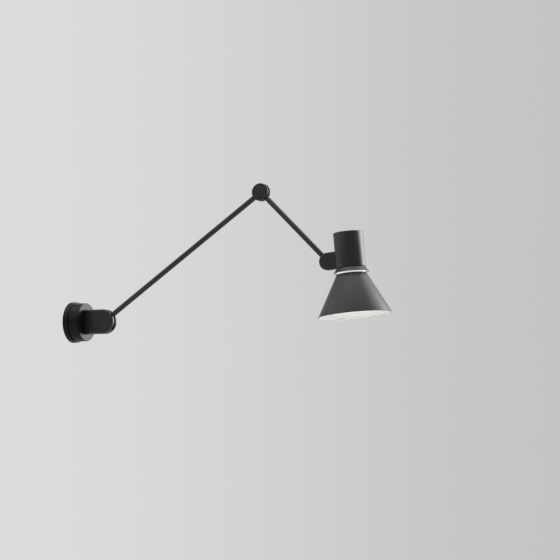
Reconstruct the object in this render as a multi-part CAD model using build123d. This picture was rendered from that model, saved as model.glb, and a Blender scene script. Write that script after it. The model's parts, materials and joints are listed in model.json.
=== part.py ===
from build123d import *
from math import asin, degrees, sqrt
import os

# Articulating wall lamp, in millimetres. The origin is the centre of the wall plate's rear
# face, +X points out of the wall and +Z up. The arms fold in the XZ plane.

# ---- Driving dimensions -------------------------------------------------------------------

# Pose that the lamp rests in, as angles above the horizontal
lower_arm_angle = 34.9
upper_arm_angle = -44.7
head_tilt = 5.4

# Travel of each pivot from that pose, down and up
shoulder_travel = (-65, 55)
elbow_travel = (-55, 75)
head_travel = (-60, 39)

# Arms, from pivot to pivot
lower_arm_length = 416.8
upper_arm_length = 197
tube_d = 10
tube_wall = 1.0
collar_length = 1.5
spigot_length = 12
spigot_fit = 0.02
neck_clearance = 1.2

# Rose: the rear ring is fixed to the wall, the drum turns with the bracket
ring_d = 81
ring_taper = 0.4
ring_depth = 11
ring_wall = 3.6
wall_shadow_gap = 0.4
turning_gap = 0.4
drum_step = 2.1
drum_taper = 1
drum_wall = 2.2
drum_face = 3
drum_edge_r = 1.2
rose_depth = 32.3

# Web of the rear ring, which carries the swivel
web_gap = 0.4
web_tube_wall = 2
web_setback = 9.8
web_thickness = 2.5

# Wall plate
plate_thickness = 2
plate_rim_wall = 1.6
plate_rim_height = 8
plate_fit = 0.1
plate_ledge_gap = 1
cable_entry_d = 16
wall_slot_spacing = 48
wall_slot_length = 9
wall_slot_width = 4.6

# Swivel on the X axis
bolt_d = 10
bolt_bore_d = 5
bolt_head_d = 14
bolt_head_height = 2.5
bolt_head_gap = 0.3
bolt_tail = 0.4
swivel_nut_size = 17
swivel_nut_height = 3
spring_washer = 0.6
friction_washer = 0.5
swivel_washer_d = 24

# Fits of everything that turns
running_fit = 0.03
axial_play = 0.03

# Bracket and the forks of the three pivots
bracket_reach = 39.7
bracket_r = 24
bracket_cheek = 5.6
bracket_edge_r = 3
elbow_r = 17
head_fork_r = 16.5
arm_cheek = 2.8
arm_edge_r = 1.8
rim_recess = 3.4
eye_thickness = 6.8
eye_gap = 0.6
neck_gap = 0.6
pivot_washer = 0.4
pivot_washer_margin = 1

# Hollow pivot pins
pin_d = 9
pin_bore_spare = 0.3
pin_flange_d = 14
pin_flange_thickness = 1
pin_far_web = 0.8
pin_end_skin = 1
cover_gap = 0.25
pin_cover_d = 18
elbow_cover_rim = 5.4
elbow_cover_thickness = 0.8

# Lead inside the lamp: it passes each pivot along the pivot's own axis
lead_d = 2.2
lead_room = 0.15
lead_spare = 0.1
lead_bend_r = 4
lead_drift = 30
lead_drift_r = 60
lead_in = 8
switch_lead_bend_r = 2.2

# Head, about its own axis; heights are measured up from the pivot
pivot_standoff = 17.2
wiring_room = 9
cap_wall = 1.5
cap_top_thickness = 2
cap_edge_r = 1.4
cap_rise = 49.2
cap_drop = 17.6
seam_height = 0.5
seam_depth = 0.8
skirt_flare = 5.9
skirt_height = 8.9
skirt_wall = 1.6
skirt_spigot = 3
skirt_fit = 0.1
glow_gap = 1.6
glow_ring_inset = 1.7
glow_ring_wall = 2.4
glow_ring_clearance = 0.25
shade_top_step = 0.1
shade_d = 140
shade_height = 79.3
shade_wall = 1.0
shade_bend_r = 1.5
light_slot_count = 6
light_slot_gap = 0.6
light_slot_width = 3
light_slot_sweep = 40

# Lampholder, its strap and the lamp
holder_d = 35
holder_flange_width = 3
holder_flange = 2.5
holder_skirt = 6.6
holder_wall = 4
holder_roof = 6
holder_fit = 0.1
shade_ring_width = 4
shade_ring_height = 4
nipple_d = 10
nipple_bore_d = 6
nipple_seat = 4
nipple_length = 10
nipple_nut_size = 14
nipple_nut_height = 2.5
strap_thickness = 1.5
strap_width = 16
strap_screw_gap = 0.8
strap_skirt_gap = 0.5
strap_reach = 9
lamp_fit = 0.4
lamp_base_length = 27
lamp_tip_d = 10
lamp_tip_height = 2
lamp_shoulder_height = 4
lamp_base_gap = 1.5
lamp_neck_length = 20
lamp_collar_d = 30
lamp_collar_length = 5
lamp_globe_d = 45
lamp_glass = 1

# Switch in the cap's top
switch_d = 18
switch_neck_d = 14
switch_length = 15
bezel_d = 19
bezel_height = 0.8
button_d = 10
button_proud = 1.6
button_length = 9
button_travel = 1.2
button_gap = 0.08
button_room = 1

# Screws
bracket_screw_d = 4
bracket_screw_head_d = 7
bracket_screw_head = 2.4
bracket_screw_length = 12
bracket_screw_gap = 1.5
head_screw_d = 3
head_screw_head_d = 5.4
head_screw_head = 1.8
head_screw_length = 8
head_screw_spread = 20
grub_screw_d = 4
grub_screw_sink = 0.5
grub_screw_station = 5
earth_screw_d = 4
earth_screw_head_d = 8
earth_screw_head = 2.4
earth_screw_y = -21
earth_screw_z = 14
screw_slot_width = 1
screw_slot_depth = 0.8

# Terminal block behind the web
block_depth = 13
block_width = 21
block_height = 12
block_gap = 0.5
block_ways = 3
block_hole_d = 3
block_screw_d = 3.4
block_screw_sink = 0.6

# ---- Sizes worked out from them -----------------------------------------------------------

lead_r = lead_d / 2
lead_hole_r = lead_r + lead_room
lead_turn_r = lead_r + lead_spare
lead_level = lead_turn_r + lead_spare
tube_r = tube_d / 2
tube_bore_r = tube_r - tube_wall
slot_half = eye_thickness / 2 + axial_play + pivot_washer
pin_r = pin_d / 2
elbow_cover_d = 2 * (elbow_r - elbow_cover_rim)
pin_bore_r = lead_level + lead_r + pin_bore_spare
far_web = slot_half + pin_far_web
far_flange = far_web + pin_flange_thickness
shoulder_x = rose_depth + bracket_reach
swivel_face = rose_depth - bolt_head_gap
ring_r = ring_d / 2
ring_bore_r = ring_r - ring_wall
drum_r = ring_r - drum_step
drum_front_r = drum_r - drum_taper
web_tube_r = drum_front_r - drum_wall - web_gap
web_front = rose_depth - web_setback
web_back = web_front - web_thickness
bolt_end = web_back - spring_washer - swivel_nut_height - bolt_tail
supply_x = bolt_end - lead_bend_r
block_back = web_back - block_depth
block_drop = swivel_washer_d / 2 + block_gap + block_height / 2
bracket_screw_z = (swivel_washer_d + bracket_screw_head_d) / 2 + bracket_screw_gap
boss_back = web_front + friction_washer + axial_play
drum_face_back = rose_depth - drum_face

holder_r = holder_d / 2
holder_flange_r = holder_r + holder_flange_width
holder_bore_r = holder_r - holder_wall
shade_ring_r = holder_r + shade_ring_width
lamp_base_r = holder_bore_r - lamp_fit
cap_inner_r = holder_r + wiring_room
cap_r = cap_inner_r + cap_wall
skirt_r = cap_r + skirt_flare
skirt_spigot_r = cap_inner_r - skirt_fit
skirt_slope = (skirt_r - skirt_spigot_r) / skirt_height
shade_top_r = cap_r + shade_top_step
glow_ring_r = shade_top_r - glow_ring_inset
light_slot_r = shade_ring_r + light_slot_gap
head_screw_z = head_screw_spread / 2
holder_top = head_screw_z + head_screw_head_d / 2 + strap_screw_gap
strap_leg_drop = cap_drop + seam_height - skirt_spigot - strap_skirt_gap
cap_ceiling = cap_rise - cap_top_thickness
head_axis_offset = pivot_standoff + cap_r
skirt_top = -cap_drop - seam_height
skirt_bottom = skirt_top - skirt_height
shade_top = skirt_bottom - glow_gap
glow_ring_room = skirt_r - skirt_wall - glow_ring_r - glow_ring_clearance
glow_ring_top = skirt_bottom + glow_ring_room / skirt_slope
shade_bottom = shade_top - shade_height
shade_plate_bottom = shade_top - shade_wall
strap_top = holder_top + strap_thickness
strap_inner_r = cap_inner_r - strap_thickness
holder_bottom = shade_top - holder_skirt
socket_top = holder_top - holder_roof
nipple_bottom = holder_top - nipple_seat
nipple_top = nipple_bottom + nipple_length
lamp_tip = socket_top - lamp_base_gap
lamp_neck_top = lamp_tip - lamp_base_length
lamp_neck_bottom = lamp_neck_top - lamp_neck_length
lamp_collar_bottom = lamp_neck_bottom - lamp_collar_length
switch_bottom = cap_ceiling - switch_length
bezel_top = cap_rise + bezel_height
button_top = bezel_top + button_proud
button_bottom = button_top - button_length

# Directions that each arm can take in its fork, whose root points to 180 degrees
shoulder_open = (lower_arm_angle + shoulder_travel[0], lower_arm_angle + shoulder_travel[1])
elbow_rest = upper_arm_angle - lower_arm_angle
elbow_open = (elbow_rest + elbow_travel[0], elbow_rest + elbow_travel[1])
head_rest = upper_arm_angle - head_tilt
head_open = (head_rest - head_travel[1], head_rest - head_travel[0])

# Places of the bodies
shoulder_place = Pos(shoulder_x, 0, 0)
lower_place = shoulder_place * Rot(0, -lower_arm_angle, 0)
elbow_place = lower_place * Pos(lower_arm_length, 0, 0)
upper_place = elbow_place * Rot(0, -elbow_rest, 0)
tip_place = upper_place * Pos(upper_arm_length, 0, 0)
head_place = tip_place * Rot(0, head_rest, 0) * Pos(head_axis_offset, 0, 0)
half_turn = Rot(0, 180, 0)


# ---- Shapes used again and again ----------------------------------------------------------

def slab(sketch, low, high):
    """A sketch drawn in X and Z, thickened from Y = low to Y = high."""
    return extrude(Plane.XZ.offset(-high) * sketch, amount=high - low)


def disc(radius, low, high):
    """A round plate about the Y axis."""
    return slab(Circle(radius), low, high)


def rod_z(radius, low, high):
    """A round bar along Z."""
    return Pos(0, 0, low) * Cylinder(
        radius, high - low, align=(Align.CENTER, Align.CENTER, Align.MIN))


def rod_x(radius, low, high):
    """A round bar along X."""
    return Rot(0, 90, 0) * rod_z(radius, low, high)


def tube_x(radius, bore_r, low, high):
    return rod_x(radius, low, high) - rod_x(bore_r, low, high)


def hexagon_nut(across_flats, bore_d, low, high):
    """A hexagonal nut on the Z axis."""
    outline = RegularPolygon(across_flats / 2, 6, major_radius=False) - Circle(bore_d / 2)
    return Pos(0, 0, low) * extrude(outline, amount=high - low)


def turned_about_x(points):
    """A turned piece: points give (X, radius) around its section."""
    return revolve(make_face(Plane.XZ * Polyline(*points, close=True)), axis=Axis.X)


def turned_about_z(points):
    """A turned piece: points give (radius, Z) around its section."""
    return revolve(make_face(Plane.XZ * Polyline(*points, close=True)), axis=Axis.Z)


def wedge(radius, start, end):
    """A sector of a circle in X and Z, between two angles above +X."""
    arc = CenterArc((0, 0), radius, start, end - start)
    return make_face([Line((0, 0), arc @ 0), arc, Line(arc @ 1, (0, 0))])


def lead_along(points, radii):
    """A round lead that follows straight runs joined by tangent arcs."""
    path = FilletPolyline(*points, radius=radii)
    return sweep(Plane(origin=path @ 0, z_dir=path % 0) * Circle(lead_r), path)


def swing(radius, half_width):
    """The angle to each side that a bar of this half width takes up at this radius."""
    return degrees(asin(half_width / radius))


# ---- Pivot pieces: the arm leaves an eye along +X, a fork's root points along -X -----------

def eye_radius(fork_r):
    return fork_r - rim_recess


def tube_end(fork_r):
    """A neck narrow enough to pass the fork, a collar and a spigot that plugs into a tube."""
    reach = fork_r + neck_clearance
    neck = rod_x(tube_r, 0, reach) & Box(2 * reach, eye_thickness, tube_d)
    collar = rod_x(tube_r, reach, reach + collar_length)
    spigot_start = reach + collar_length
    return neck + collar + rod_x(tube_bore_r - spigot_fit, spigot_start, spigot_start + spigot_length)


def tube_start(fork_r):
    """Distance from a pivot to the end of the tube beside it."""
    return fork_r + neck_clearance + collar_length


def pivot_eye(fork_r, arm_open):
    """An arm's end: a flat eye on a neck, with a passage for the lead that meets it."""
    body = disc(eye_radius(fork_r), -eye_thickness / 2, eye_thickness / 2) + tube_end(fork_r)
    body -= disc(pin_r + running_fit, -eye_thickness, eye_thickness)
    end = tube_start(fork_r) + spigot_length
    body -= Pos(0, lead_level, 0) * rod_x(lead_hole_r, 0, end)
    margin = swing(pin_r, lead_hole_r)
    passage = wedge(fork_r, 180 - arm_open[1] - margin, 180 - arm_open[0] + margin)
    return body - slab(passage, -lead_level - lead_hole_r, -lead_level + lead_hole_r)


def pivot_fork(fork_r, reach, cheek, edge_r, pin_seat, cover_d, arm_open):
    """Two cheeks joined at their root, with a slot that the arm swings in."""
    half = slot_half + cheek
    outline = Circle(fork_r)
    if reach > 0:
        outline += Pos(-reach, 0) * Circle(fork_r)
        outline += Pos(-reach / 2, 0) * Rectangle(reach, 2 * fork_r)
    body = slab(outline, -half, half)
    faces = body.faces().sort_by(Axis.Y)
    body = fillet(faces[0].edges() + faces[-1].edges(), edge_r)
    if reach > 0:
        body -= Pos(-reach - fork_r, 0, 0) * Box(2 * fork_r, 2 * half, 2 * fork_r)
    spare = swing(eye_radius(fork_r), tube_r + neck_gap)
    slot = Circle(eye_radius(fork_r) + eye_gap)
    slot += wedge(2 * fork_r, arm_open[0] - spare, arm_open[1] + spare)
    body -= slab(slot, -slot_half, slot_half)
    body -= disc(pin_r, -slot_half - pin_seat, half)
    body -= disc(pin_flange_d / 2, far_web, half)
    return body - disc(cover_d / 2 + cover_gap, far_flange, half)


def pivot_pin(pin_seat, arm_open):
    """A hollow pin, fixed in its fork, with a window for the lead on each side."""
    body = disc(pin_r, -slot_half - pin_seat, far_web)
    body += disc(pin_flange_d / 2, far_web, far_flange)
    body -= disc(pin_bore_r, -slot_half - pin_seat, lead_level + lead_hole_r)
    body -= Pos(0, -lead_level, 0) * rod_x(lead_hole_r, -pin_d, 0)
    margin = swing(pin_bore_r, lead_hole_r)
    window = wedge(pin_d, arm_open[0] - margin, arm_open[1] + margin)
    return body - slab(window, lead_level - lead_hole_r, lead_level + lead_hole_r)


def pivot_washers(fork_r):
    """The two friction washers between an eye and its fork's cheeks."""
    ring = Circle(eye_radius(fork_r) - pivot_washer_margin) - Circle(pin_r)
    far = slab(ring, slot_half - pivot_washer, slot_half)
    near = slab(ring, -slot_half, -slot_half + pivot_washer)
    return far + near


def pin_cover(cheek, cover_d):
    """The disc over a pin's flange, flush with the far cheek."""
    return disc(cover_d / 2, far_flange, slot_half + cheek)


# ---- Wall side ----------------------------------------------------------------------------

def wall_plate():
    """A pressed plate with a rim, two screw slots and a hole for the supply cable."""
    outer = ring_bore_r - plate_fit
    body = turned_about_x([
        (0, cable_entry_d / 2), (0, outer), (plate_rim_height, outer),
        (plate_rim_height, outer - plate_rim_wall), (plate_thickness, outer - plate_rim_wall),
        (plate_thickness, cable_entry_d / 2)])
    slot = extrude(SlotOverall(wall_slot_length, wall_slot_width), amount=2 * plate_thickness)
    upright = Rot(0, 90, 0) * Rot(0, 0, 90) * slot
    for side in (-1, 1):
        body -= Pos(-plate_thickness / 2, side * wall_slot_spacing / 2, 0) * upright
    return body - earth_screw_shank()


def earth_screw_shank():
    return Pos(0, earth_screw_y, earth_screw_z) * rod_x(earth_screw_d / 2, 0, plate_thickness)


def earth_screw():
    """The screw for the supply's earth wire, on the plate's front."""
    top = plate_thickness + earth_screw_head
    head = rod_x(earth_screw_head_d / 2, plate_thickness, top)
    head -= Pos(top, 0, 0) * Box(2 * screw_slot_depth, screw_slot_width, earth_screw_head_d)
    return Pos(0, earth_screw_y, earth_screw_z) * head + earth_screw_shank()


def rose_ring():
    """The rose's rear ring, and the web behind the drum that carries the swivel bolt."""
    ledge = plate_rim_height + plate_ledge_gap
    body = turned_about_x([
        (wall_shadow_gap, ring_r), (ring_depth, ring_r - ring_taper),
        (ring_depth, web_tube_r), (web_front, web_tube_r), (web_front, bolt_d / 2),
        (web_back, bolt_d / 2), (web_back, web_tube_r - web_tube_wall),
        (ledge, web_tube_r - web_tube_wall), (ledge, ring_bore_r),
        (wall_shadow_gap, ring_bore_r)])
    for turn in (0, 180):
        body -= Rot(turn, 0, 0) * Pos(grub_screw_station, 0, 0) * rod_z(
            grub_screw_d / 2, ring_bore_r - grub_screw_d, ring_r + grub_screw_d)
    return body


def grub_screws():
    """Two screws that hold the ring on the wall plate's rim, above and below."""
    outer = ring_r - ring_taper - grub_screw_sink
    screw = rod_z(grub_screw_d / 2, ring_bore_r - plate_fit, outer)
    screw -= Pos(0, 0, outer) * Box(screw_slot_width, grub_screw_d, 2 * screw_slot_depth)
    upper = Pos(grub_screw_station, 0, 0) * screw
    return upper + Rot(180, 0, 0) * upper


def block_way(number):
    """Distance of a terminal from the block's middle."""
    return (number - (block_ways - 1) / 2) * block_width / block_ways


def terminal_block():
    body = Pos(web_back - block_depth / 2, 0, -block_drop) * Box(
        block_depth, block_width, block_height)
    for number in range(block_ways):
        body -= Pos(supply_x, block_way(number), -block_drop) * rod_z(
            block_hole_d / 2, -block_height, block_height)
        body -= Pos(0, block_way(number), -block_drop) * rod_x(
            block_screw_d / 2, block_back, supply_x)
    return body


def terminal_screws():
    """One screw for each terminal, reached from the wall side, bearing on its wire."""
    start = block_back + block_screw_sink
    screw = rod_x(block_screw_d / 2, start, supply_x - lead_r)
    screw -= Pos(start, 0, 0) * Box(2 * screw_slot_depth, block_screw_d, screw_slot_width)
    return Part() + [
        Pos(0, block_way(number), -block_drop) * screw for number in range(block_ways)]


def swivel_bolt():
    """A hollow bolt: its head bears on the drum's boss, its tail takes the nut."""
    seat = swivel_face - bolt_head_height
    body = rod_x(bolt_d / 2, bolt_end, seat) + rod_x(bolt_head_d / 2, seat, swivel_face)
    return body - rod_x(bolt_bore_d / 2, bolt_end, swivel_face)


def swivel_nut():
    front = web_back - spring_washer
    return Rot(0, 90, 0) * hexagon_nut(swivel_nut_size, bolt_d, front - swivel_nut_height, front)


def swivel_spring_washer():
    return tube_x(swivel_washer_d / 2, bolt_d / 2, web_back - spring_washer, web_back)


def swivel_friction_washer():
    return tube_x(swivel_washer_d / 2, bolt_d / 2, web_front, web_front + friction_washer)


def supply_lead():
    """From the terminal block into the bolt, as far as the face where the bracket turns."""
    bottom = -block_drop - block_screw_d / 2
    return lead_along([(supply_x, 0, bottom), (supply_x, 0, 0), (swivel_face, 0, 0)],
                      [lead_bend_r])


# ---- Drum and bracket ---------------------------------------------------------------------

def rose_drum():
    """The turning front of the rose, with a boss that rides on the swivel bolt."""
    back = ring_depth + turning_gap
    bore = bolt_d / 2 + running_fit
    recess = bolt_head_d / 2 + bolt_head_gap
    seat = swivel_face - bolt_head_height - axial_play
    body = turned_about_x([
        (back, drum_r), (rose_depth, drum_front_r), (rose_depth, recess), (seat, recess),
        (seat, bore), (boss_back, bore), (boss_back, swivel_washer_d / 2),
        (drum_face_back, swivel_washer_d / 2), (drum_face_back, drum_front_r - drum_wall),
        (back, drum_r - drum_wall)])
    front_face = body.faces().filter_by(Plane.YZ).sort_by(Axis.X)[-1]
    body = fillet(front_face.outer_wire().edges(), drum_edge_r)
    return body - bracket_screw_shanks(drum_face_back, rose_depth)


def bracket_screw_shanks(low, high):
    """The shanks of the two screws between drum and bracket."""
    return Part() + [
        Pos(0, 0, end * bracket_screw_z) * rod_x(bracket_screw_d / 2, low, high)
        for end in (-1, 1)]


def bracket_screws():
    """Two screws from inside the drum into the bracket's root."""
    heads = Part() + [
        Pos(0, 0, end * bracket_screw_z) * rod_x(
            bracket_screw_head_d / 2, drum_face_back - bracket_screw_head, drum_face_back)
        for end in (-1, 1)]
    return heads + bracket_screw_shanks(drum_face_back, drum_face_back + bracket_screw_length)


def lead_passage(low, high):
    """Room for a lead that shifts from the middle to the root side's level."""
    middle = rod_x(lead_hole_r, low, high)
    between = Pos((low + high) / 2, -lead_level / 2, 0) * Box(high - low, lead_level, 2 * lead_hole_r)
    return middle + between + Pos(0, -lead_level, 0) * middle


def bracket_fork():
    """The stadium-shaped bracket, rooted on the drum's face."""
    body = pivot_fork(bracket_r, bracket_reach, bracket_cheek, bracket_edge_r,
                      bracket_cheek - pin_end_skin, pin_cover_d, shoulder_open)
    body = Pos(shoulder_x, 0, 0) * (body - lead_passage(-bracket_reach, -eye_radius(bracket_r)))
    return body - bracket_screw_shanks(rose_depth, drum_face_back + bracket_screw_length)


def bracket_lead():
    """From the swivel's turning face to the middle of the shoulder pin."""
    start = swivel_face - shoulder_x
    edge = -eye_radius(bracket_r) - eye_gap
    return shoulder_place * lead_along(
        [(start, 0, 0), (start + lead_in, 0, 0), (edge, -lead_level, 0), (0, -lead_level, 0),
         (0, 0, 0)],
        [lead_drift_r, lead_drift_r, lead_turn_r])


# ---- Arms ---------------------------------------------------------------------------------

def arm_tube(start, end):
    return tube_x(tube_r, tube_bore_r, start, end)


def elbow_fork():
    """The coin-shaped elbow, on the lower arm's far end."""
    body = pivot_fork(elbow_r, 0, arm_cheek, arm_edge_r, arm_cheek - elbow_cover_thickness,
                      elbow_cover_d, elbow_open)
    half = slot_half + arm_cheek
    body -= disc(elbow_cover_d / 2 + cover_gap, -half, -half + elbow_cover_thickness)
    stem = half_turn * tube_end(elbow_r)
    body += stem - disc(eye_radius(elbow_r) + eye_gap, -half, half)
    end = tube_start(elbow_r) + spigot_length
    return body - Pos(0, -lead_level, 0) * rod_x(lead_hole_r, -end, -eye_radius(elbow_r))


def elbow_cover_near():
    half = slot_half + arm_cheek
    return disc(elbow_cover_d / 2, -half, -half + elbow_cover_thickness)


def lower_arm_lead():
    """From the shoulder pin's middle to the elbow pin's, changing level inside the tube."""
    middle = lower_arm_length / 2
    return lead_along(
        [(0, 0, 0), (0, lead_level, 0), (middle - lead_drift / 2, lead_level, 0),
         (middle + lead_drift / 2, -lead_level, 0), (lower_arm_length, -lead_level, 0),
         (lower_arm_length, 0, 0)],
        [lead_turn_r, lead_drift_r, lead_drift_r, lead_turn_r])


def upper_arm_lead():
    return lead_along(
        [(0, 0, 0), (0, lead_level, 0), (upper_arm_length, lead_level, 0),
         (upper_arm_length, 0, 0)],
        [lead_turn_r, lead_turn_r])


# ---- Head, on its own axis ----------------------------------------------------------------

def head_fork():
    """The rounded tab on the cap's side, with the fork that the upper arm ends in."""
    half = slot_half + arm_cheek
    reach = head_axis_offset - sqrt(cap_r ** 2 - half ** 2)
    body = pivot_fork(head_fork_r, reach, arm_cheek, arm_edge_r, arm_cheek - pin_end_skin,
                      pin_cover_d, head_open)
    body -= Pos(0, -lead_level, 0) * rod_x(lead_hole_r, -reach, -eye_radius(head_fork_r))
    body = Pos(-head_axis_offset, 0, 0) * half_turn * body
    body -= rod_z(cap_r, -2 * head_fork_r, 2 * head_fork_r)
    return body - head_screw_shanks()


def head_screw_seat():
    """How far from the head's axis the screws' flat heads bear on the curved strap."""
    return sqrt(strap_inner_r ** 2 - (head_screw_head_d / 2) ** 2)


def head_screw_shanks():
    seat = head_screw_seat()
    return Part() + [
        Pos(0, 0, end * head_screw_z) * rod_x(
            head_screw_d / 2, -seat - head_screw_length, -seat)
        for end in (-1, 1)]


def head_screws():
    """Two screws from inside the cap, through the strap and the cap's wall into the tab."""
    seat = head_screw_seat()
    heads = Part() + [
        Pos(0, 0, end * head_screw_z) * rod_x(
            head_screw_head_d / 2, -seat, -seat + head_screw_head)
        for end in (-1, 1)]
    return heads + head_screw_shanks()


def lamp_cap():
    body = rod_z(cap_r, -cap_drop, cap_rise)
    body = fillet(body.edges().sort_by(Axis.Z)[-1], cap_edge_r)
    body -= rod_z(cap_inner_r, -cap_drop, cap_ceiling)
    body -= rod_z(switch_neck_d / 2, cap_ceiling, cap_rise)
    body -= Pos(0, -lead_level, 0) * rod_x(lead_hole_r, -cap_r, 0)
    return body - head_screw_shanks()


def lamp_skirt():
    """The flared ring under the cap, plugged into it with a dark seam between them."""
    bore_r = skirt_spigot_r - skirt_wall
    return turned_about_z([
        (skirt_spigot_r, skirt_top + skirt_spigot), (skirt_spigot_r, skirt_top),
        (cap_r - seam_depth, skirt_top), (skirt_r, skirt_bottom),
        (skirt_r - skirt_wall, skirt_bottom), (bore_r, skirt_top),
        (bore_r, skirt_top + skirt_spigot)])


def glow_ring():
    """The translucent ring that stands on the shade and shows through the gap."""
    return rod_z(glow_ring_r, shade_top, glow_ring_top) - rod_z(
        glow_ring_r - glow_ring_wall, shade_top, glow_ring_top)


def lamp_shade():
    """The cone, open below, bent round into the flat top that the lampholder clamps."""
    rim_r = shade_d / 2
    slope = (rim_r - shade_top_r) / shade_height
    side_wall = shade_wall * sqrt(1 + slope ** 2)
    hole_r = holder_r + holder_fit
    outer = FilletPolyline((hole_r, shade_top), (shade_top_r, shade_top), (rim_r, shade_bottom),
                           radius=shade_bend_r + shade_wall)
    inner = FilletPolyline(
        (rim_r - side_wall, shade_bottom),
        (shade_top_r + slope * shade_wall - side_wall, shade_plate_bottom),
        (hole_r, shade_plate_bottom), radius=shade_bend_r)
    outline = outer + Line(outer @ 1, inner @ 0) + inner + Line(inner @ 1, outer @ 0)
    body = revolve(make_face((Plane.XZ * outline).edges()), axis=Axis.Z)
    for number in range(light_slot_count):
        start = number * 360 / light_slot_count
        outer = wedge(light_slot_r + light_slot_width, start, start + light_slot_sweep)
        slot = outer - Circle(light_slot_r)
        body -= extrude(Pos(0, 0, shade_plate_bottom) * slot, amount=shade_wall)
    return body


def lampholder():
    """The screw lampholder: a flange for the shade and a thread below it for the shade ring."""
    flange_top = shade_top + holder_flange
    return turned_about_z([
        (holder_r, holder_top), (holder_r, flange_top), (holder_flange_r, flange_top),
        (holder_flange_r, shade_top), (holder_r, shade_top), (holder_r, holder_bottom),
        (holder_bore_r, holder_bottom), (holder_bore_r, socket_top),
        (nipple_bore_d / 2, socket_top), (nipple_bore_d / 2, nipple_bottom),
        (nipple_d / 2, nipple_bottom), (nipple_d / 2, holder_top)])


def shade_ring():
    """The threaded ring that clamps the shade against the lampholder's flange."""
    bottom = shade_plate_bottom - shade_ring_height
    return rod_z(shade_ring_r, bottom, shade_plate_bottom) - rod_z(
        holder_r, bottom, shade_plate_bottom)


def holder_strap():
    """An angle strap: its leg is screwed to the cap's side, its top carries the lampholder."""
    leg = rod_z(cap_inner_r, -strap_leg_drop, strap_top) - rod_z(
        strap_inner_r, -strap_leg_drop, holder_top)
    reach = cap_inner_r + strap_reach
    body = leg & Pos(strap_reach - reach / 2, 0, (strap_top - strap_leg_drop) / 2) * Box(
        reach, strap_width, strap_top + strap_leg_drop)
    body -= rod_z(nipple_d / 2, holder_top, strap_top)
    body -= Pos(0, -lead_level, 0) * rod_x(lead_hole_r, -cap_inner_r, 0)
    body -= Pos(lead_riser_x(), -lead_level, 0) * rod_z(2 * lead_hole_r, holder_top, strap_top)
    return body - head_screw_shanks()


def lead_riser_x():
    """Where the lead climbs, midway between the lampholder and the screws' heads."""
    return -(head_screw_seat() - head_screw_head + holder_r) / 2


def holder_nipple():
    return rod_z(nipple_d / 2, nipple_bottom, nipple_top) - rod_z(
        nipple_bore_d / 2, nipple_bottom, nipple_top)


def nipple_nut():
    return hexagon_nut(nipple_nut_size, nipple_d, strap_top, strap_top + nipple_nut_height)


def lamp_base():
    """The screw cap of the lamp, inside the lampholder."""
    neck = lamp_tip - lamp_tip_height
    shoulder = neck - lamp_shoulder_height
    return turned_about_z([
        (0, lamp_tip), (lamp_tip_d / 2, lamp_tip), (lamp_tip_d / 2, neck),
        (lamp_base_r, shoulder), (lamp_base_r, lamp_neck_top), (0, lamp_neck_top)])


def lamp_housing():
    """The lamp's plain neck, which widens to a collar for the glass."""
    return turned_about_z([
        (0, lamp_neck_top), (lamp_base_r, lamp_neck_top), (lamp_base_r, lamp_neck_bottom),
        (lamp_collar_d / 2, lamp_collar_bottom), (0, lamp_collar_bottom)])


def lamp_globe():
    """A thin glass globe, open where it stands on the collar."""
    outer_r = lamp_globe_d / 2
    inner_r = outer_r - lamp_glass
    middle = lamp_collar_bottom - sqrt(outer_r ** 2 - (lamp_collar_d / 2) ** 2)
    shell = Sphere(outer_r) - Sphere(inner_r)
    above = Pos(0, 0, lamp_collar_bottom - middle) * rod_z(outer_r, 0, outer_r)
    return Pos(0, 0, middle) * (shell - above)


def switch_body():
    """The push switch, hung in the cap's top, with a well for its button."""
    body = rod_z(switch_d / 2, switch_bottom, cap_ceiling)
    body += rod_z(switch_neck_d / 2, cap_ceiling, cap_rise)
    well = button_bottom - button_travel - button_room
    return body - rod_z(button_d / 2 + button_gap, well, cap_rise)


def switch_bezel():
    return rod_z(bezel_d / 2, cap_rise, bezel_top) - rod_z(
        button_d / 2 + button_gap, cap_rise, bezel_top)


def switch_button():
    body = rod_z(button_d / 2, button_bottom, button_top)
    return fillet(body.edges().sort_by(Axis.Z)[-1], button_proud / 2)


def head_lead():
    """From the head pin's middle, through the tab and up to the switch."""
    riser = lead_riser_x()
    run = (strap_top + switch_bottom) / 2
    terminal = -switch_d / 4
    return lead_along(
        [(-head_axis_offset, 0, 0), (-head_axis_offset, -lead_level, 0),
         (riser, -lead_level, 0), (riser, -lead_level, run), (terminal, -lead_level, run),
         (terminal, -lead_level, switch_bottom)],
        [lead_turn_r, lead_bend_r, lead_bend_r, lead_bend_r])


def switch_lead():
    """From the switch down through the nipple to the lampholder's contacts."""
    terminal = switch_d / 4
    third = (switch_bottom - nipple_top) / 3
    return lead_along(
        [(terminal, 0, switch_bottom), (terminal, 0, switch_bottom - third),
         (0, 0, nipple_top + third), (0, 0, socket_top)],
        [switch_lead_bend_r, switch_lead_bend_r])


# ---- The nodes, each in its place ---------------------------------------------------------

in_place = {
    "wall_plate": wall_plate(),
    "rose_ring": rose_ring(),
    "grub_screws": grub_screws(),
    "earth_screw": earth_screw(),
    "terminal_block": terminal_block(),
    "terminal_screws": terminal_screws(),
    "swivel_bolt": swivel_bolt(),
    "swivel_nut": swivel_nut(),
    "swivel_spring_washer": swivel_spring_washer(),
    "swivel_friction_washer": swivel_friction_washer(),
    "supply_lead": supply_lead(),
    "rose_drum": rose_drum(),
    "bracket_fork": bracket_fork(),
    "bracket_screws": bracket_screws(),
    "bracket_lead": bracket_lead(),
    "shoulder_pin": shoulder_place * pivot_pin(bracket_cheek - pin_end_skin, shoulder_open),
    "shoulder_washers": shoulder_place * pivot_washers(bracket_r),
    "shoulder_pin_cover": shoulder_place * pin_cover(bracket_cheek, pin_cover_d),
}

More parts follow.
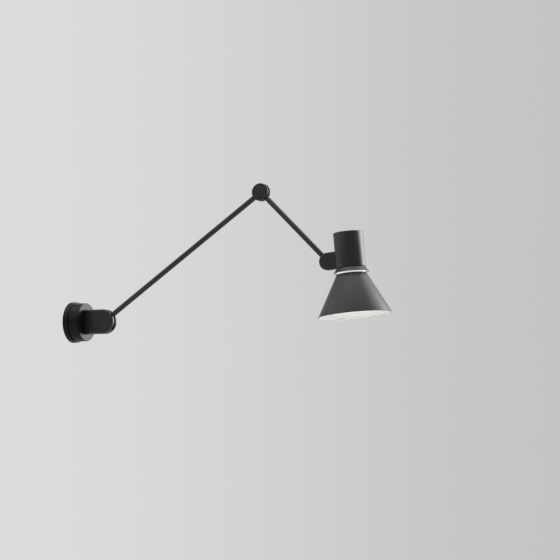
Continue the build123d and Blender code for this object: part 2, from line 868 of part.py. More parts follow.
on_lower_arm = {
    "lower_arm_foot": pivot_eye(bracket_r, shoulder_open),
    "lower_arm_tube": arm_tube(tube_start(bracket_r), lower_arm_length - tube_start(elbow_r)),
    "lower_arm_lead": lower_arm_lead(),
}

on_elbow = {
    "elbow_fork": elbow_fork(),
    "elbow_pin": pivot_pin(arm_cheek - elbow_cover_thickness, elbow_open),
    "elbow_washers": pivot_washers(elbow_r),
    "elbow_cover_near": elbow_cover_near(),
    "elbow_cover_far": pin_cover(arm_cheek, elbow_cover_d),
}

on_upper_arm = {
    "upper_arm_foot": pivot_eye(elbow_r, elbow_open),
    "upper_arm_tube": arm_tube(tube_start(elbow_r), upper_arm_length - tube_start(head_fork_r)),
    "upper_arm_tip": Pos(upper_arm_length, 0, 0) * half_turn * pivot_eye(head_fork_r, head_open),
    "upper_arm_lead": upper_arm_lead(),
}

head_pivot = Pos(-head_axis_offset, 0, 0) * half_turn
on_head = {
    "head_fork": head_fork(),
    "head_pin": head_pivot * pivot_pin(arm_cheek - pin_end_skin, head_open),
    "head_washers": head_pivot * pivot_washers(head_fork_r),
    "head_pin_cover": head_pivot * pin_cover(arm_cheek, pin_cover_d),
    "head_screws": head_screws(),
    "head_lead": head_lead(),
    "holder_strap": holder_strap(),
    "lamp_cap": lamp_cap(),
    "lamp_skirt": lamp_skirt(),
    "glow_ring": glow_ring(),
    "lamp_shade": lamp_shade(),
    "lampholder": lampholder(),
    "shade_ring": shade_ring(),
    "holder_nipple": holder_nipple(),
    "nipple_nut": nipple_nut(),
    "switch_body": switch_body(),
    "switch_bezel": switch_bezel(),
    "switch_lead": switch_lead(),
    "switch_button": switch_button(),
    "lamp_base": lamp_base(),
    "lamp_housing": lamp_housing(),
    "lamp_globe": lamp_globe(),
}

os.makedirs("parts", exist_ok=True)
groups = [(Pos(0, 0, 0), in_place), (lower_place, on_lower_arm), (elbow_place, on_elbow),
          (upper_place, on_upper_arm), (head_place, on_head)]
for place, nodes in groups:
    for name, shape in nodes.items():
        export_step(place * shape, f"parts/{name}.step")
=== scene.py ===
import json
import math

import bmesh
import bpy
from mathutils import Matrix, Vector


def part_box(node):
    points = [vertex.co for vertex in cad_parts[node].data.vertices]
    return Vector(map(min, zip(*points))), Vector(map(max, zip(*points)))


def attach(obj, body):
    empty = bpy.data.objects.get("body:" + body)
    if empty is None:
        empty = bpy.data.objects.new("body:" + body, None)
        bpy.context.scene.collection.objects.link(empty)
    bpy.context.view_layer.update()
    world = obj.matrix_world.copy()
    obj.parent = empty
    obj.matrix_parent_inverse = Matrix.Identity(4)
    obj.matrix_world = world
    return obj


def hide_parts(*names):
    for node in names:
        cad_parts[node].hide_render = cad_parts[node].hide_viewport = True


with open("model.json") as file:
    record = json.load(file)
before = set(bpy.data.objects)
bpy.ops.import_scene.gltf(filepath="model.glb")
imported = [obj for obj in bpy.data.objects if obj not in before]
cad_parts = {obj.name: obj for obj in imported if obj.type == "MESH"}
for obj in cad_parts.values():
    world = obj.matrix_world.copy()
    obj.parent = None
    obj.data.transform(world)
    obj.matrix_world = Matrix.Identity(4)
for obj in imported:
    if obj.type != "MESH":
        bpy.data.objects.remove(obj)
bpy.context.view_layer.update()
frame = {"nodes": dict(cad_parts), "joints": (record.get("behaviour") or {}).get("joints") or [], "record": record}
nodes = frame["nodes"]
joints = {joint["name"]: joint for joint in frame["joints"]}

MM = 0.001

# ---- Camera: the photograph's view, solved from the lamp's own edges ----------------------

# The azimuth turns left from +Y, and the pitch is up from level
CAMERA_PLACE = (2.219, -3.768, -0.279)
CAMERA_AZIMUTH = 25.1
CAMERA_PITCH = 4.777
SENSOR = 36.0
FOCAL_PIXELS = 2200
FRAME_PIXELS = 560


def add_camera():
    data = bpy.data.cameras.new("view")
    data.sensor_width = SENSOR
    data.lens = FOCAL_PIXELS / FRAME_PIXELS * SENSOR
    camera = bpy.data.objects.new("view", data)
    camera.location = CAMERA_PLACE
    camera.rotation_euler = (math.radians(90 + CAMERA_PITCH), 0, math.radians(CAMERA_AZIMUTH))
    bpy.context.scene.collection.objects.link(camera)
    bpy.context.scene.camera = camera


# ---- Node helpers -------------------------------------------------------------------------

class NodeTree:
    """A tree of shader nodes, with short calls to make and link them."""

    def __init__(self, tree):
        self.tree = tree

    def node(self, kind, **settings):
        """A new node, with values for its inputs or else for its own settings."""
        made = self.tree.nodes.new(kind)
        for key, value in settings.items():
            if key in made.inputs:
                made.inputs[key].default_value = value
            else:
                setattr(made, key, value)
        return made

    def link(self, source, target):
        self.tree.links.new(source, target)

    def blend(self, factor, first, second):
        """A colour, from the first at 0 to the second at 1."""
        made = self.node("ShaderNodeMix", data_type="RGBA")
        made.inputs["A"].default_value = (*first, 1)
        made.inputs["B"].default_value = (*second, 1)
        self.link(factor, made.inputs["Factor"])
        return made.outputs["Result"]


class Shader(NodeTree):
    """A material, painted by its surface's own coordinates."""

    def __init__(self, name):
        self.material = bpy.data.materials.new(name)
        self.material.use_nodes = True
        super().__init__(self.material.node_tree)
        self.surface = self.tree.nodes["Principled BSDF"]
        self.place = None

    def position(self):
        """The surface's own coordinates in metres, which ride with the piece."""
        if self.place is None:
            self.place = self.node("ShaderNodeTexCoord").outputs["Object"]
        return self.place

    def noise(self, size, detail=3.0):
        """Noise whose features are about this many metres across."""
        made = self.node("ShaderNodeTexNoise", Scale=1 / size, Detail=detail)
        self.link(self.position(), made.inputs["Vector"])
        return made.outputs["Fac"]

    def remap(self, value, low, high, start=0.0, end=1.0):
        """The value from start to end, stretched to run from low to high."""
        made = self.node("ShaderNodeMapRange")
        made.inputs["From Min"].default_value = start
        made.inputs["From Max"].default_value = end
        made.inputs["To Min"].default_value = low
        made.inputs["To Max"].default_value = high
        self.link(value, made.inputs["Value"])
        return made.outputs["Result"]

    def bump(self, height, distance, strength, below=None):
        """Relief of this depth in metres, over the relief below it."""
        made = self.node("ShaderNodeBump", Strength=strength, Distance=distance)
        self.link(height, made.inputs["Height"])
        if below is not None:
            self.link(below, made.inputs["Normal"])
        return made.outputs["Normal"]

    def set(self, **values):
        """Values on the shader's own sockets, with _ for each space in a socket's name."""
        for key, value in values.items():
            self.surface.inputs[key.replace("_", " ")].default_value = value

    def colour(self, factor, first, second):
        self.link(self.blend(factor, first, second), self.surface.inputs["Base Color"])

    def gloss(self, factor, roughness, drift):
        """The surface's roughness, which drifts (less, more) round the one given."""
        less, more = drift
        self.link(self.remap(factor, roughness - less, roughness + more),
                  self.surface.inputs["Roughness"])

    def relief(self, normal):
        self.link(normal, self.surface.inputs["Normal"])


# ---- Materials ----------------------------------------------------------------------------

# How far apart the features of each finish lie, and how deep its relief is
PAINT_CLOUD = 18 * MM
PAINT_GRAIN = 0.35 * MM
COVER_GRAIN = 0.5 * MM
PEEL_TO_GRAIN = 4
PEEL_DEPTH = 0.04 * MM
GRAIN_DEPTH = 0.015 * MM
PLASTIC_CLOUD = 12 * MM
PLASTIC_GRAIN = 0.6 * MM
PLASTIC_DEPTH = 0.02 * MM
METAL_CLOUD = 6 * MM
METAL_STREAK = 0.8 * MM
METAL_DEPTH = 0.01 * MM
OPAL_CLOUD = 10 * MM
GLOSS_PATCH = 4 * MM
PLASTIC_GLOSS_PATCH = 3 * MM

# Noise seldom leaves this range, so tones are spread over it
NOISE_RANGE = (0.35, 0.65)

# How the paints answer light, and how far their tone drifts either way
PAINT_SPECULAR = 0.66
# The rose's lower specular belongs to its darker copy of the graphite paint, which is painted shade for the wall
# that it sits against
ROSE_SHADED_SPECULAR = 0.21
PAINT_DRIFT = 0.13
ENAMEL_DRIFT = 0.01
OPAL_ROUGHNESS = 0.3

# The darkest tone in the clouds of the other finishes, as a share of their colour
PLASTIC_DARKEST = 0.93
METAL_DARKEST = 0.8
OPAL_DARKEST = 0.94
FLOOR_DARKEST = 0.97

# How far roughness drifts below and above a finish's own
SATIN_DRIFT = (0.03, 0.04)
PLASTIC_DRIFT = (0.04, 0.05)
METAL_DRIFT = (0.07, 0.1)

# How strongly relief shows
SOFT_RELIEF = 0.5
CRISP_RELIEF = 0.6

GRAPHITE = (0.025, 0.025, 0.0255)
SHADE_GREY = (0.0245, 0.0245, 0.024)
COVER_GREY = (0.026, 0.0275, 0.028)
# A darker copy of the graphite paint for the rose: painted shade, standing in for the shade of the wall that it
# sits against
ROSE_SHADED_BLACK = (0.0105, 0.0105, 0.011)
ENAMEL_WHITE = (0.89, 0.89, 0.88)
# The opal ring's emission is a painted glow, standing in for the bulb's light that shines through the ring
RING_PAINTED_GLOW = (1.0, 0.97, 0.92)
RING_PAINTED_GLOW_STRENGTH = 0.56
BULB_GLOW = (1.0, 0.985, 0.955)
BULB_STRENGTH = 5.4


def toned(colour, factor):
    return tuple(factor * part for part in colour)


def powder_coat(name, colour, roughness, grain=PAINT_GRAIN, specular=PAINT_SPECULAR, drift=PAINT_DRIFT):
    """Satin powder coat: fine orange peel, faint cloudiness in tone and gloss."""
    shader = Shader(name)
    cloud = shader.remap(shader.noise(PAINT_CLOUD, detail=4), 0, 1, *NOISE_RANGE)
    shader.colour(cloud, toned(colour, 1 - drift), toned(colour, 1 + drift))
    shader.gloss(shader.noise(GLOSS_PATCH), roughness, SATIN_DRIFT)
    peel = shader.bump(shader.noise(PEEL_TO_GRAIN * grain, detail=2), PEEL_DEPTH, SOFT_RELIEF)
    shader.relief(shader.bump(shader.noise(grain), GRAIN_DEPTH, CRISP_RELIEF, below=peel))
    shader.set(Specular_IOR_Level=specular)
    return shader.material


def plastic(name, colour, roughness):
    """Moulded plastic with a faint spark-eroded grain."""
    shader = Shader(name)
    shader.colour(shader.noise(PLASTIC_CLOUD), toned(colour, PLASTIC_DARKEST), colour)
    shader.gloss(shader.noise(PLASTIC_GLOSS_PATCH), roughness, PLASTIC_DRIFT)
    shader.relief(shader.bump(shader.noise(PLASTIC_GRAIN), PLASTIC_DEPTH, SOFT_RELIEF))
    return shader.material


def metal(name, colour, roughness):
    """Turned or plated metal with fine tool marks and uneven gloss."""
    shader = Shader(name)
    shader.colour(shader.noise(METAL_CLOUD, detail=5), toned(colour, METAL_DARKEST), colour)
    shader.gloss(shader.noise(METAL_STREAK, detail=4), roughness, METAL_DRIFT)
    shader.relief(shader.bump(shader.noise(METAL_STREAK / 2), METAL_DEPTH, CRISP_RELIEF))
    shader.set(Metallic=1.0)
    return shader.material


def glowing(name, colour, glow, strength):
    """Opal glass or acrylic that shines by emission: for the bulb's globe this is the lamp itself, and for the
    opal ring it is a painted glow standing in for the bulb's light through it.
    """
    shader = Shader(name)
    shader.colour(shader.noise(OPAL_CLOUD), toned(colour, OPAL_DARKEST), colour)
    shader.gloss(shader.noise(GLOSS_PATCH), OPAL_ROUGHNESS, SATIN_DRIFT)
    shader.set(Emission_Color=(*glow, 1), Emission_Strength=strength)
    return shader.material


# The finish of each material slot in the record
MATERIALS = {
    "graphite_paint": powder_coat("graphite_paint", GRAPHITE, 0.32),
    "shade_paint": powder_coat("shade_paint", SHADE_GREY, 0.34),
    "cover_paint": powder_coat("cover_paint", COVER_GREY, 0.3, grain=COVER_GRAIN),
    # The opal ring's emission is painted light: a glow for the bulb's light through it
    "opal_diffuser": glowing("opal_diffuser", (0.9, 0.9, 0.89), RING_PAINTED_GLOW, RING_PAINTED_GLOW_STRENGTH),
    "plate_steel": metal("plate_steel", (0.55, 0.56, 0.58), 0.38),
    "screw_steel": metal("screw_steel", (0.5, 0.51, 0.53), 0.34),
    "pin_steel": metal("pin_steel", (0.5, 0.5, 0.51), 0.25),
    "spring_steel": metal("spring_steel", (0.25, 0.25, 0.27), 0.3),
    "brass": metal("brass", (0.72, 0.52, 0.24), 0.28),
    "friction_fibre": plastic("friction_fibre", (0.3, 0.16, 0.1), 0.75),
    "terminal_polymer": plastic("terminal_polymer", (0.8, 0.8, 0.77), 0.5),
    "holder_polymer": plastic("holder_polymer", (0.82, 0.81, 0.78), 0.45),
    "lamp_polymer": plastic("lamp_polymer", (0.85, 0.85, 0.83), 0.3),
    "lamp_cap_metal": metal("lamp_cap_metal", (0.7, 0.7, 0.71), 0.3),
    "opal_glass": glowing("opal_glass", (0.95, 0.94, 0.92), BULB_GLOW, BULB_STRENGTH),
    "switch_polymer": plastic("switch_polymer", (0.03, 0.03, 0.032), 0.45),
    "button_polymer": plastic("button_polymer", (0.03, 0.031, 0.033), 0.3),
    "lead_sheath": plastic("lead_sheath", (0.02, 0.02, 0.02), 0.55),
}
# The rose's paint is a darker, less glossy copy of the graphite paint: painted shade from the wall behind it
ROSE_SHADED_PAINT = powder_coat("rose_shaded_paint", ROSE_SHADED_BLACK, 0.34, specular=ROSE_SHADED_SPECULAR)
WHITE_ENAMEL = powder_coat("white_enamel", ENAMEL_WHITE, 0.35, drift=ENAMEL_DRIFT)
SLOTS = {row["node"]: row["material_slot"] for row in frame["record"]["subparts"]}


def dress_nodes():
    """Every CAD node gets its slot's finish."""
    for name, node in nodes.items():
        node.data.materials.clear()
        node.data.materials.append(MATERIALS[SLOTS[name]])


# ---- Turned pieces, with their outlines from the CAD nodes that they replace ---------------

# Faces round a turned piece, degrees of arc in each step of a rounded corner, and the faces
# round a drilled hole
TURN_STEPS = 180
ARC_STEP = 15
HOLE_STEPS = 32

# A corner that bends by more degrees than SHARP_ANGLE is rounded and shows as an edge, and one
# that bends by less than STRAIGHT is none
SHARP_ANGLE = 28
STRAIGHT = 2

# The half planes that read the outlines, in degrees round the axis: one misses the vents, the
# grub screws' holes and the fork screws' holes, and the other passes through a vent
CUT_ANGLE = 50
VENT_ANGLE = 20

# Vents have more than this between them, in degrees, and this many steps each
VENT_GAP = 15
VENT_STEPS = 12

# An outline's corner goes to the CAD corner that is nearer than SNAP. Points closer than ON_AXIS
# are one point, or lie on the axis. HAIR is the tolerance of the half planes' cuts, in metres, and
# OVERSHOOT is how far a vent's cutter reaches past the wall that it cuts.
SNAP = 0.35 * MM
ON_AXIS = 0.001 * MM
HAIR = 1e-8
OVERSHOOT = 1 * MM

# An arc takes at most this share of the stretches beside it
ARC_SHARE = 0.45

# How a rib rounds off into the next one: more is a narrower groove
RIB_POWER = 3

# Material indices of a turned piece
OUTSIDE, INSIDE = 0, 1


class Axis:
    """The line that a turned piece lies on."""

    def __init__(self, origin, direction):
        along = Vector(direction).normalized()
        mostly_y = abs(along.y) > abs(along.x) + abs(along.z)
        start = Vector((1, 0, 0)) if mostly_y else Vector((0, 1, 0))
        side = start.cross(along).normalized()
        turn = Matrix((side, along.cross(side), along)).transposed()
        self.matrix = Matrix.Translation(origin) @ turn.to_4x4()
        self.inverse = self.matrix.inverted()

    def local(self, node):
        """The node's corners, with the axis as Z."""
        return [self.inverse @ vertex.co for vertex in nodes[node].data.vertices]

    def corners(self, node):
        """The node's corners as (radius, height)."""
        return [Vector((math.hypot(point.x, point.y), point.z)) for point in self.local(node)]


def centred_axis(node, direction):
    """The axis of a turned node whose direction is known."""
    rough = Axis((0, 0, 0), direction)
    found = rough.local(node)
    middle = Vector([(min(side) + max(side)) / 2 for side in zip(*found)])
    middle.z = 0
    return Axis(rough.matrix @ middle, direction)


def half_plane_loops(node, axis, angle):
    """The loops in which a half plane through the axis, at this angle, cuts the node."""
    builder = bmesh.new()
    builder.from_mesh(nodes[node].data)
    turn = Matrix.Rotation(math.radians(-angle), 4, "Z") @ axis.inverse
    bmesh.ops.transform(builder, matrix=turn, verts=builder.verts)
    bmesh.ops.remove_doubles(builder, verts=builder.verts, dist=ON_AXIS)
    for normal in ((1, 0, 0), (0, 1, 0)):
        whole = builder.verts[:] + builder.edges[:] + builder.faces[:]
        found = bmesh.ops.bisect_plane(
            builder, geom=whole, dist=HAIR, plane_co=(0, 0, 0), plane_no=normal)
    links = {}
    for edge in found["geom_cut"]:
        if isinstance(edge, bmesh.types.BMEdge) and min(end.co.x for end in edge.verts) > -ON_AXIS:
            one, other = edge.verts
            links.setdefault(one, []).append(other)
            links.setdefault(other, []).append(one)
    loops = []
    while links:
        ends = [vertex for vertex, others in links.items() if len(others) == 1]
        here = ends[0] if ends else next(iter(links))
        loop = []
        while here is not None:
            loop.append(Vector((max(0, here.co.x), here.co.z)))
            others = links.pop(here)
            here = next((other for other in others if other in links), None)
        loops.append(loop)
    builder.free()
    return loops


def without_doubles(loop):
    return [here for number, here in enumerate(loop) if (here - loop[number - 1]).length > ON_AXIS]


def bends(loop):
    """The corners of a loop, without the points along its straight stretches."""
    kept = []
    for number, here in enumerate(loop):
        before, after = here - loop[number - 1], loop[(number + 1) % len(loop)] - here
        if before.angle(after) > math.radians(STRAIGHT):
            kept.append(here)
    return kept


def outlines(node, axis, angle=CUT_ANGLE):
    """The node's outlines beside the axis, with only their corners, anticlockwise."""
    exact = axis.corners(node)
    cleaned = []
    for loop in half_plane_loops(node, axis, angle):
        corners = []
        for here in bends(without_doubles(loop)):
            nearest = min(exact, key=lambda corner: (corner - here).length)
            corners.append(nearest if (nearest - here).length < SNAP else here)
        corners = bends(without_doubles(corners))
        area = sum(one.cross(other) for one, other in zip(corners, corners[1:] + corners[:1]))
        cleaned.append(corners if area > 0 else corners[::-1])
    return cleaned


def rounded(corners, fillet):
    """The outline with an arc of this radius, or less for want of room, at each sharp corner."""
    outline = []
    for number, here in enumerate(corners):
        before = corners[number - 1] - here
        after = corners[(number + 1) % len(corners)] - here
        opening = before.angle(after)
        if here.x < ON_AXIS or math.pi - opening < math.radians(SHARP_ANGLE):
            outline.append(here)
            continue
        room = ARC_SHARE * min(before.length, after.length)
        cut = min(fillet / math.tan(opening / 2), room)
        radius = cut * math.tan(opening / 2)
        bisector = (before.normalized() + after.normalized()).normalized()
        middle = here + bisector * radius / math.sin(opening / 2)
        first = here + before.normalized() * cut - middle
        last = here + after.normalized() * cut - middle
        start = math.atan2(first.y, first.x)
        sweep = math.remainder(math.atan2(last.y, last.x) - start, 2 * math.pi)
        steps = max(2, round(abs(math.degrees(sweep)) / ARC_STEP))
        for step in range(steps + 1):
            angle = start + sweep * step / steps
            outline.append(middle + radius * Vector((math.cos(angle), math.sin(angle))))
    return outline


def facing_in(here, after):
    """Whether this stretch of the outline looks at the axis or down along it."""
    run = after - here
    return run.y < -ON_AXIS or (abs(run.y) <= ON_AXIS and run.x > 0)


def revolve(builder, axis, outline, wall, ribs, depth):
    """Turns the outline round the axis, with grooves carved into the wall at this radius."""
    rings = []
    for step in range(TURN_STEPS):
        angle = 2 * math.pi * step / TURN_STEPS
        groove = depth * (0.5 + 0.5 * math.cos(ribs * angle)) ** RIB_POWER
        ring = []
        for point in outline:
            radius = point.x - groove if point.x > wall - depth else point.x
            place = Vector((radius * math.cos(angle), radius * math.sin(angle), point.y))
            ring.append(builder.verts.new(axis.matrix @ place))
        rings.append(ring)
    for here, after in zip(rings, rings[1:] + rings[:1]):
        for number, point in enumerate(outline):
            following = (number + 1) % len(outline)
            if max(point.x, outline[following].x) < ON_AXIS:
                continue
            face = builder.faces.new(
                (here[number], after[number], after[following], here[following]))
            face.material_index = INSIDE if facing_in(point, outline[following]) else OUTSIDE


def turned(name, node, axis, body, edge, finish=None, lining=None, ribs=0, depth=0):
    """The node again as a finer solid of revolution with softened edges.

    With a lining, the stretches that face the axis or the open end take that material. Ribs
    stand between grooves of this depth in the outer wall.
    """
    builder = bmesh.new()
    for corners in outlines(node, axis):
        wall = max(corner.x for corner in corners)
        revolve(builder, axis, rounded(corners, edge), wall, ribs, depth)
    bmesh.ops.remove_doubles(builder, verts=builder.verts, dist=ON_AXIS)
    bmesh.ops.recalc_face_normals(builder, faces=builder.faces)
    mesh = bpy.data.meshes.new(name)
    builder.to_mesh(mesh)
    builder.free()
    finish = finish or MATERIALS[SLOTS[node]]
    mesh.materials.append(finish)
    mesh.materials.append(lining or finish)
    soften(mesh)
    piece = bpy.data.objects.new(name, mesh)
    bpy.context.scene.collection.objects.link(piece)
    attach(piece, body)
    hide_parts(node)
    return piece


def soften(mesh):
    """Smooth shading, apart from the sharp edges."""
    for face in mesh.polygons:
        face.use_smooth = True
    mesh.set_sharp_from_angle(angle=math.radians(SHARP_ANGLE))


def prism(axis, outline, low, high):
    """A straight cutter with this outline across the axis."""
    builder = bmesh.new()
    ends = [[builder.verts.new(axis.matrix @ Vector((*point, height))) for point in outline]
            for height in (low, high)]
    builder.faces.new(ends[0][::-1])
    builder.faces.new(ends[1])
    for number in range(len(outline)):
        following = (number + 1) % len(outline)
        builder.faces.new((ends[0][number], ends[0][following],
                           ends[1][following], ends[1][number]))
    mesh = bpy.data.meshes.new("cutter")
    builder.to_mesh(mesh)
    builder.free()
    return mesh


def arc(radius, angles):
    return [(radius * math.cos(angle), radius * math.sin(angle)) for angle in angles]


def circle(radius):
    return arc(radius, [2 * math.pi * step / HOLE_STEPS for step in range(HOLE_STEPS)])


def vent_cutters(node, axis):
    """Cutters for the slots round the axis, which end where the node's own corners say."""
    inner, outer = sorted(outlines(node, axis, VENT_ANGLE), key=lambda loop: loop[0].x)
    near = max(corner.x for corner in inner)
    far = min(corner.x for corner in outer)
    low = min(corner.y for corner in inner) - OVERSHOOT
    high = max(corner.y for corner in inner) + OVERSHOOT
    around = sorted(math.atan2(point.y, point.x) for point in axis.local(node)
                    if abs(math.hypot(point.x, point.y) - near) < SNAP)
    gaps = [(here, after) for here, after in zip(around, around[1:] + around[:1])
            if math.degrees((after - here) % (2 * math.pi)) > VENT_GAP]
    cutters = []
    for (_, start), (end, _) in zip(gaps, gaps[1:] + gaps[:1]):
        sweep = (end - start) % (2 * math.pi)
        angles = [start + sweep * step / VENT_STEPS for step in range(VENT_STEPS + 1)]
        cutters.append(prism(axis, arc(near, angles[::-1]) + arc(far, angles), low, high))
    return cutters


def cut(piece, meshes):
    """Takes the cutters away from a piece, for good."""
    for mesh in meshes:
        cutter = bpy.data.objects.new("cutter", mesh)
        bpy.context.scene.collection.objects.link(cutter)
        modifier = piece.modifiers.new("cut", "BOOLEAN")
        modifier.object = cutter
        modifier.solver = "EXACT"
        bpy.context.view_layer.update()
        seen = piece.evaluated_get(bpy.context.evaluated_depsgraph_get())
        result = bpy.data.meshes.new_from_object(seen)
        piece.modifiers.clear()
        piece.data = result
        bpy.data.objects.remove(cutter)
    soften(piece.data)


# ---- The axes of the lamp -----------------------------------------------------------------

rose_axis = Axis((0, 0, 0), (1, 0, 0))
head_axis = centred_axis("lamp_cap", -Vector(joints["button_press"]["axis"]))


def pivot_axis(joint):
    return Axis(Vector(joints[joint]["pos_m"]), (0, -1, 0))


def arm_axis(first, second):
    start, end = (Vector(joints[joint]["pos_m"]) for joint in (first, second))
    return Axis(start, end - start)


# ---- Pieces -------------------------------------------------------------------------------

# The radius of the softened edges of thin pieces, and of the heavy castings
EDGE = 0.35 * MM
BOLD_EDGE = 2 * EDGE
RIBS = 30
RIB_DEPTH = 0.5 * MM


def rose():
    # Both rose pieces take the shaded copy of the paint: painted shade next to the wall
    ring = turned("rose_rear_ring", "rose_ring", rose_axis, "wall_mount", BOLD_EDGE, finish=ROSE_SHADED_PAINT)
    low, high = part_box("grub_screws")
    hole = Axis(((low.x + high.x) / 2, 0, 0), (0, 0, 1))
    reach = 2 * high.z
    cut(ring, [prism(hole, circle((high.x - low.x) / 2), -reach, reach)])
    turned("rose_front_drum", "rose_drum", rose_axis, "bracket", BOLD_EDGE, finish=ROSE_SHADED_PAINT)


def head():
    turned("cap_shell", "lamp_cap", head_axis, "lamp_head", BOLD_EDGE)
    turned("flared_skirt", "lamp_skirt", head_axis, "lamp_head", EDGE, lining=WHITE_ENAMEL)
    turned("glowing_ring", "glow_ring", head_axis, "lamp_head", EDGE)
    shade = turned("cone_shade", "lamp_shade", head_axis, "lamp_head", EDGE, lining=WHITE_ENAMEL)
    cut(shade, vent_cutters("lamp_shade", head_axis))
    turned("ribbed_clamp_ring", "shade_ring", head_axis, "lamp_head", EDGE,
           ribs=RIBS, depth=RIB_DEPTH)
    turned("holder_body", "lampholder", head_axis, "lamp_head", EDGE)
    turned("bulb_housing", "lamp_housing", head_axis, "lamp_head", EDGE)
    turned("bulb_globe", "lamp_globe", head_axis, "lamp_head", EDGE)
    turned("button_bezel", "switch_bezel", head_axis, "lamp_head", EDGE)
    turned("push_button", "switch_button", head_axis, "button", EDGE)


def pivots():
    for node, joint, body in (("shoulder_pin_cover", "shoulder", "bracket"),
                              ("elbow_cover_near", "elbow", "lower_arm"),
                              ("elbow_cover_far", "elbow", "lower_arm"),
                              ("head_pin_cover", "head_tilt", "lamp_head")):
        turned(node + "_disc", node, pivot_axis(joint), body, EDGE)


def arms():
    turned("lower_tube", "lower_arm_tube", arm_axis("shoulder", "elbow"), "lower_arm", EDGE)
    turned("upper_tube", "upper_arm_tube", arm_axis("elbow", "head_tilt"), "upper_arm", EDGE)


# ---- Stage and light ----------------------------------------------------------------------

# The lamp hangs at about the height of a reading lamp over its floor
FLOOR_HEIGHT = -1.6
FLOOR_SIZE = 14.0
FLOOR_COLOUR = (0.45, 0.455, 0.45)
FLOOR_ROUGHNESS = 0.9
FLOOR_CLOUD = 0.3

# The backdrop's tones, and how far round its middle gloss and glass show it, in degrees
BACKDROP_LEFT = (0.72, 0.715, 0.72)
BACKDROP_RIGHT = (0.55, 0.56, 0.545)
BACKDROP_HALF_WIDTH = 10
BACKDROP_EDGE = 16

# The room's own level, all round
ROOM = (0.20, 0.205, 0.212)

# Soft lights of the room: where each one is, as azimuth from +X and elevation in degrees, its
# half width where it is full, the width of its soft edge, its strength and its colour
ROOM_LIGHTS = {
    "window": (52, 12, 17, 10, 4.9, (1.0, 1.0, 0.98)),
    "window_top": (40, 42, 9, 16, 2.0, (1.0, 1.0, 0.99)),
    "window_glow": (85, 10, 38, 16, 0.7, (0.97, 0.98, 1.0)),
    "ceiling": (0, 90, 8, 34, 1.3, (1.0, 0.99, 0.97)),
    "upper_left": (-150, 45, 15, 30, 0.5, (0.98, 0.99, 1.0)),
    "left_wall": (180, 0, 20, 45, 0.3, (0.97, 0.98, 1.0)),
}

# A large soft box in front, above the camera's line
FILL_PLACE = (-0.4, -2.6, 1.6)
FILL_TARGET = (0.35, 0, 0.1)
FILL_SIZE = 1.6
FILL_POWER = 3


def pale_floor():
    size = FLOOR_SIZE / 2
    mesh = bpy.data.meshes.new("floor")
    corners = [(-size, -size, 0), (size, -size, 0), (size, size, 0), (-size, size, 0)]
    mesh.from_pydata(corners, [], [(0, 1, 2, 3)])
    floor = bpy.data.objects.new("floor", mesh)
    floor.location.z = FLOOR_HEIGHT
    bpy.context.scene.collection.objects.link(floor)
    shader = Shader("floor_paint")
    shader.colour(shader.noise(FLOOR_CLOUD), toned(FLOOR_COLOUR, FLOOR_DARKEST), FLOOR_COLOUR)
    shader.set(Roughness=FLOOR_ROUGHNESS)
    mesh.materials.append(shader.material)


def towards(azimuth, elevation):
    """The direction at this azimuth from +X and this elevation, in degrees."""
    around, up = math.radians(azimuth), math.radians(elevation)
    return Vector((math.cos(around) * math.cos(up), math.sin(around) * math.cos(up), math.sin(up)))


class Room(NodeTree):
    """World nodes that paint light by its direction."""

    def __init__(self):
        world = bpy.data.worlds.new("studio")
        world.use_nodes = True
        bpy.context.scene.world = world
        super().__init__(world.node_tree)
        self.tree.nodes.clear()
        self.direction = self.node("ShaderNodeTexCoord").outputs["Generated"]

    def facing(self, direction):
        """The cosine of the angle between the ray and this direction."""
        made = self.node("ShaderNodeVectorMath", operation="DOT_PRODUCT")
        made.inputs[1].default_value = direction
        self.link(self.direction, made.inputs[0])
        return made.outputs["Value"]

    def smooth(self, value, start, end):
        """0 up to the start and 1 from the end on, with a soft rise between them."""
        made = self.node("ShaderNodeMapRange", interpolation_type="SMOOTHSTEP")
        made.inputs["From Min"].default_value = start
        made.inputs["From Max"].default_value = end
        self.link(value, made.inputs["Value"])
        return made.outputs["Result"]

    def background(self, colour, strength=None):
        made = self.node("ShaderNodeBackground")
        if isinstance(colour, tuple):
            made.inputs["Color"].default_value = (*colour, 1)
        else:
            self.link(colour, made.inputs["Color"])
        if strength is not None:
            self.link(strength, made.inputs["Strength"])
        return made.outputs["Background"]

    def math(self, operation, first, second):
        made = self.node("ShaderNodeMath", operation=operation)
        self.link(first, made.inputs[0])
        if isinstance(second, float):
            made.inputs[1].default_value = second
        else:
            self.link(second, made.inputs[1])
        return made.outputs["Value"]

    def added(self, first, second):
        made = self.node("ShaderNodeAddShader")
        self.link(first, made.inputs[0])
        self.link(second, made.inputs[1])
        return made.outputs["Shader"]


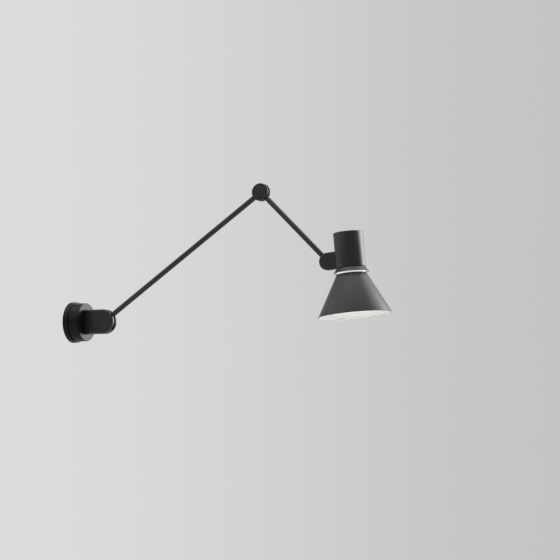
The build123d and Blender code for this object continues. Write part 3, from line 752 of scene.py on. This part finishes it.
def backdrop_colour(room):
    """The pale backdrop fades from one side of the picture to the other."""
    right = towards(CAMERA_AZIMUTH, 0)
    half = FRAME_PIXELS / 2 / FOCAL_PIXELS
    return room.blend(room.smooth(room.facing(right), -half, half), BACKDROP_LEFT, BACKDROP_RIGHT)


def sees_backdrop(room):
    """1 for the camera, and for gloss and glass where the backdrop stands behind the lamp."""
    rays = room.node("ShaderNodeLightPath").outputs
    outer = math.cos(math.radians(BACKDROP_HALF_WIDTH + BACKDROP_EDGE))
    inner = math.cos(math.radians(BACKDROP_HALF_WIDTH))
    behind = room.smooth(room.facing(towards(90 + CAMERA_AZIMUTH, CAMERA_PITCH)), outer, inner)
    mirrored = room.math("MAXIMUM", rays["Is Glossy Ray"], rays["Is Transmission Ray"])
    return room.math("MAXIMUM", rays["Is Camera Ray"], room.math("MULTIPLY", mirrored, behind))


def studio_world():
    """A pale backdrop for the camera, and for the lamp a room with a window beyond its right."""
    room = Room()
    light = room.background(ROOM)
    for azimuth, elevation, half_width, edge, strength, colour in ROOM_LIGHTS.values():
        outer = math.cos(math.radians(half_width + edge))
        inner = math.cos(math.radians(half_width))
        mask = room.smooth(room.facing(towards(azimuth, elevation)), outer, inner)
        light = room.added(light, room.background(colour, room.math("MULTIPLY", mask, strength)))
    mix = room.node("ShaderNodeMixShader")
    room.link(sees_backdrop(room), mix.inputs["Fac"])
    room.link(light, mix.inputs[1])
    room.link(room.background(backdrop_colour(room)), mix.inputs[2])
    output = room.node("ShaderNodeOutputWorld")
    room.link(mix.outputs["Shader"], output.inputs["Surface"])


def fill_light():
    data = bpy.data.lights.new("fill_front", "AREA")
    data.size = FILL_SIZE
    data.energy = FILL_POWER
    light = bpy.data.objects.new("fill_front", data)
    light.location = FILL_PLACE
    aim = Vector(FILL_TARGET) - Vector(FILL_PLACE)
    light.rotation_euler = aim.to_track_quat("-Z", "Y").to_euler()
    bpy.context.scene.collection.objects.link(light)


add_camera()
dress_nodes()
rose()
head()
pivots()
arms()
pale_floor()
studio_world()
fill_light()

bpy.context.scene.view_settings.view_transform = "Standard"
